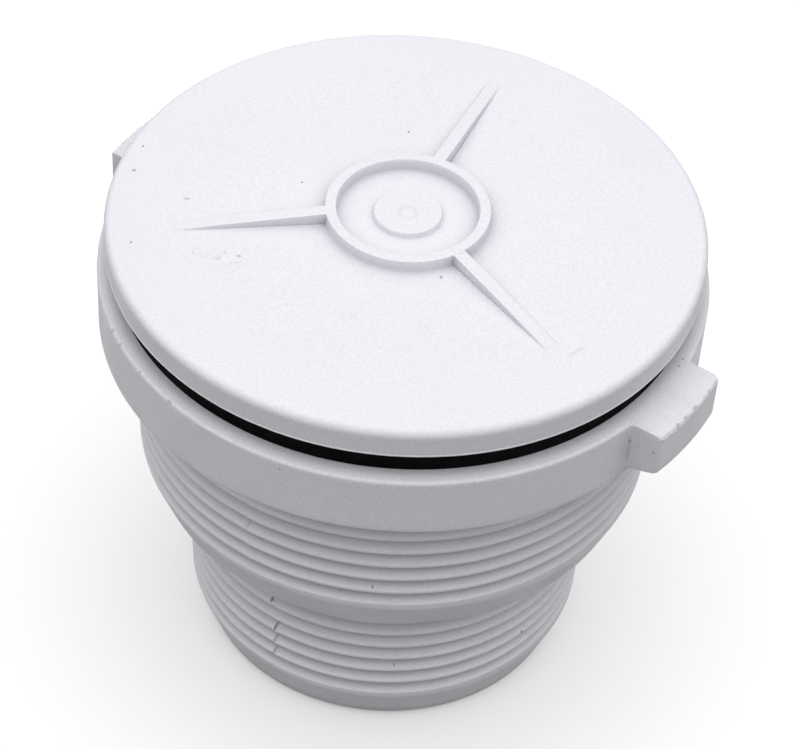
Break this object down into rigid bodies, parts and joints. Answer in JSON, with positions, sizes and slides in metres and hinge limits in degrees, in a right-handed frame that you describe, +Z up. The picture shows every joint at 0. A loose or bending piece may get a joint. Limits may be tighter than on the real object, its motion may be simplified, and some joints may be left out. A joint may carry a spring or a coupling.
{
  "type": "hydrostatic relief valve",
  "caption": "Stepped through-wall relief valve: threaded white body, flange with wrench ears, black gasket and a spring-closed cap that lifts off its seat.",
  "frame": {"origin": "centre of the lower rim, on the axis of the fitting", "axes": "+Z up along the axis towards the sealing cap; the front of the fitting faces -Y; the right-hand wrench ear is at azimuth -32.7 degrees from +X"},
  "size_m": [0.0688, 0.068, 0.0607],
  "materials": {
    "white_plastic": "white injection-moulded ABS, satin, finely grained, lightly speckled",
    "grey_plastic": "grey moulded plastic, satin",
    "acetal": "natural acetal, turned, satin",
    "nylon": "blue nylon locking ring",
    "black_rubber": "black nitrile sheet, matte",
    "stainless": "turned stainless steel",
    "spring_steel": "drawn stainless spring wire",
    "brass": "knurled turned brass"
  },
  "bodies": {
    "valve_body": {"valve_body": "white_plastic", "guide_spider": "white_plastic", "spring_thrust_washer": "acetal", "return_spring": "spring_steel"},
    "spring_carrier": {"spring_cup": "acetal"},
    "poppet": {"cap": "white_plastic", "stem_insert": "brass", "seal_gasket": "black_rubber", "gasket_clamp_plate": "grey_plastic", "clamp_washer": "stainless", "clamp_nut": "stainless", "stem": "stainless", "stem_locknut": "stainless", "locknut_insert": "nylon"}
  },
  "joints": [
    {"name": "cap_lift", "type": "slide", "parent": "valve_body", "child": "spring_carrier", "axis": [0, 0, 1], "range_m": [0, 0.01], "stiffness_N_per_m": 400, "springref_m": -0.0125, "deforming": ["return_spring"]},
    {"name": "cap_spin", "type": "hinge", "parent": "spring_carrier", "child": "poppet", "pos_m": [0, 0, 0.03], "axis": [0, 0, 1], "continuous": true}
  ]
}
